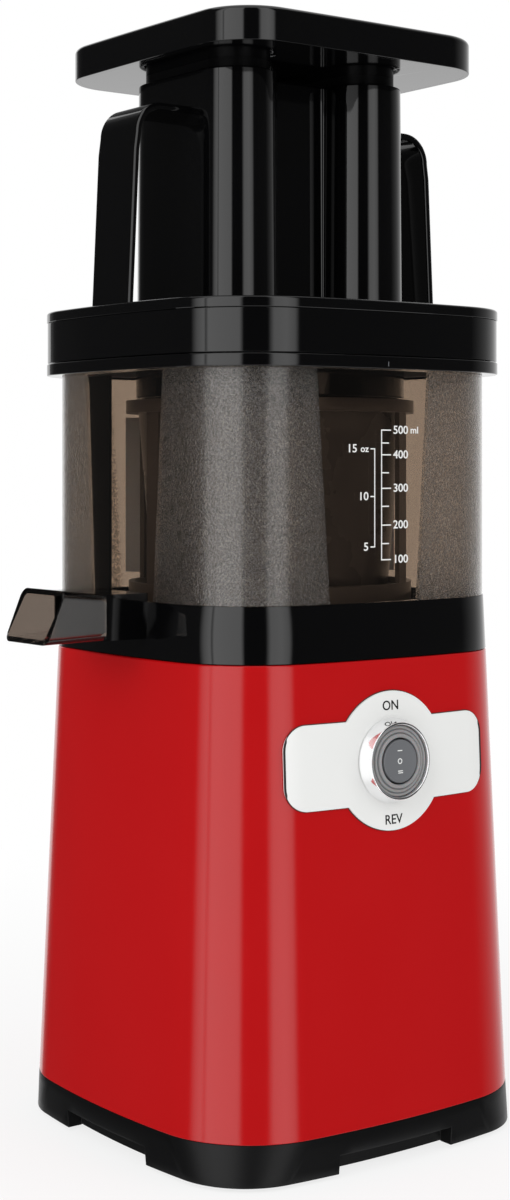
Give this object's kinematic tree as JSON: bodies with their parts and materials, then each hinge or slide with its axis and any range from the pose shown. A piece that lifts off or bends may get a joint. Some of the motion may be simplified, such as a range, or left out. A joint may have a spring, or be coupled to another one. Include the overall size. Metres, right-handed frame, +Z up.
{
  "type": "cold press juicer",
  "caption": "Upright slow juicer: tapered housing with rocker switch, clear bowl with strainer, auger and turning brush, double feed chute with pusher, two carry handles.",
  "frame": {"origin": "machine axis at the surface the feet stand on", "axes": "+Z up along the auger; front with the switch and the scale faces -Y; juice spout points to -X"},
  "size_m": [0.2095, 0.1704, 0.426],
  "materials": {
    "red_gloss": "high gloss moulded red",
    "black_gloss": "piano black gloss",
    "black_satin": "satin moulded black",
    "black_matte": "matt moulded black",
    "smoked_clear": "smoked transparent copolyester",
    "white_metal": "satin white silver",
    "chrome": "polished",
    "grey_silicone": "translucent grey silicone",
    "rocker_grey": "satin dark grey",
    "rubber_black": "matt",
    "steel": "turned steel",
    "magnet": "sintered ferrite",
    "carbon": "carbon block",
    "die_cast": "die cast",
    "bronze": "sintered bronze",
    "board_green": "printed circuit board",
    "gear_nylon": "natural nylon",
    "strainer_dark": "dark moulded",
    "mesh_steel": "perforated",
    "auger_dark": "dark moulded",
    "brush_grey": "dark grey moulded"
  },
  "bodies": {
    "base": {"base_housing": "red_gloss", "top_deck": "black_matte", "base_tray": "black_satin", "rubber_foot_1": "rubber_black", "rubber_foot_2": "rubber_black", "rubber_foot_3": "rubber_black", "rubber_foot_4": "rubber_black", "tray_screws": "steel", "switch_plate": "white_metal", "switch_bezel": "chrome", "switch_boot": "grey_silicone", "switch_body": "black_matte", "motor_can": "steel", "motor_magnets": "magnet", "motor_endcap": "black_matte", "carbon_brushes": "carbon", "motor_bearings": "steel", "gearbox_housing": "die_cast", "gearbox_cover": "die_cast", "gearbox_screws": "steel", "gear_pin": "steel", "output_bearing": "bronze", "drive_seal": "rubber_black", "control_board": "board_green", "cord_gland": "rubber_black"},
    "rocker": {"switch_rocker": "rocker_grey"},
    "motor": {"armature": "steel", "commutator": "bronze", "cooling_fan": "black_matte", "motor_pinion": "steel"},
    "reduction": {"reduction_gear": "gear_nylon"},
    "drive": {"output_gear": "gear_nylon", "drive_shaft": "steel"},
    "bowl": {"bowl_base": "black_gloss", "juice_bowl": "smoked_clear", "bowl_rim": "black_gloss", "juice_spout": "smoked_clear", "pulp_spout": "black_gloss", "pulp_plug": "grey_silicone", "shaft_seal": "grey_silicone", "idler_pins": "steel", "strainer_frame": "strainer_dark", "strainer_mesh": "mesh_steel"},
    "auger": {"auger": "auger_dark", "auger_socket": "steel", "auger_gear": "gear_nylon"},
    "idler_front": {"brush_idler_front": "gear_nylon"},
    "idler_rear": {"brush_idler_rear": "gear_nylon"},
    "brush": {"brush_frame": "brush_grey", "brush_blades": "grey_silicone"},
    "hopper": {"hopper_lid": "black_gloss", "lid_band": "black_gloss", "lid_seal": "grey_silicone", "handle_left": "black_gloss", "handle_right": "black_gloss"},
    "pusher": {"pusher_cap": "black_gloss", "pusher_underplate": "black_gloss", "plunger_left": "black_satin", "plunger_right": "black_satin", "plunger_screws": "steel"}
  },
  "joints": [
    {"name": "bowl_lift", "type": "slide", "parent": "base", "child": "bowl", "axis": [0, 0, 1], "range_m": [0, 0.075]},
    {"name": "hopper_lift", "type": "slide", "parent": "bowl", "child": "hopper", "axis": [0, 0, 1], "range_m": [0, 0.045]},
    {"name": "pusher_lift", "type": "slide", "parent": "hopper", "child": "pusher", "axis": [0, 0, 1], "range_m": [0, 0.09]},
    {"name": "auger_spin", "type": "hinge", "parent": "bowl", "child": "auger", "pos_m": [0, 0, 0.2], "axis": [0, 0, 1], "continuous": true},
    {"name": "drive_spin", "type": "hinge", "parent": "base", "child": "drive", "pos_m": [0, 0, 0.16], "axis": [0, 0, 1], "continuous": true},
    {"name": "reduction_spin", "type": "hinge", "parent": "base", "child": "reduction", "pos_m": [0.03135, 0, 0.15], "axis": [0, 0, 1], "continuous": true},
    {"name": "motor_spin", "type": "hinge", "parent": "base", "child": "motor", "pos_m": [0, 0, 0.1], "axis": [0, 0, 1], "continuous": true},
    {"name": "brush_spin", "type": "hinge", "parent": "bowl", "child": "brush", "pos_m": [0, 0, 0.2], "axis": [0, 0, 1], "continuous": true},
    {"name": "idler_front_spin", "type": "hinge", "parent": "bowl", "child": "idler_front", "pos_m": [0, -0.033, 0.2], "axis": [0, 0, 1], "continuous": true},
    {"name": "idler_rear_spin", "type": "hinge", "parent": "bowl", "child": "idler_rear", "pos_m": [0, 0.033, 0.2], "axis": [0, 0, 1], "continuous": true},
    {"name": "switch_rock", "type": "hinge", "parent": "base", "child": "rocker", "pos_m": [0, -0.07665, 0.1491], "axis": [1, 0, 0], "range_deg": [-9, 9]}
  ],
  "couplings": [
    {"joint": "drive_spin", "follows": "auger_spin", "ratio": 1},
    {"joint": "reduction_spin", "follows": "auger_spin", "ratio": -4.5},
    {"joint": "motor_spin", "follows": "auger_spin", "ratio": 20.25},
    {"joint": "brush_spin", "follows": "auger_spin", "ratio": -0.375},
    {"joint": "idler_front_spin", "follows": "auger_spin", "ratio": -1.2},
    {"joint": "idler_rear_spin", "follows": "auger_spin", "ratio": -1.2}
  ]
}
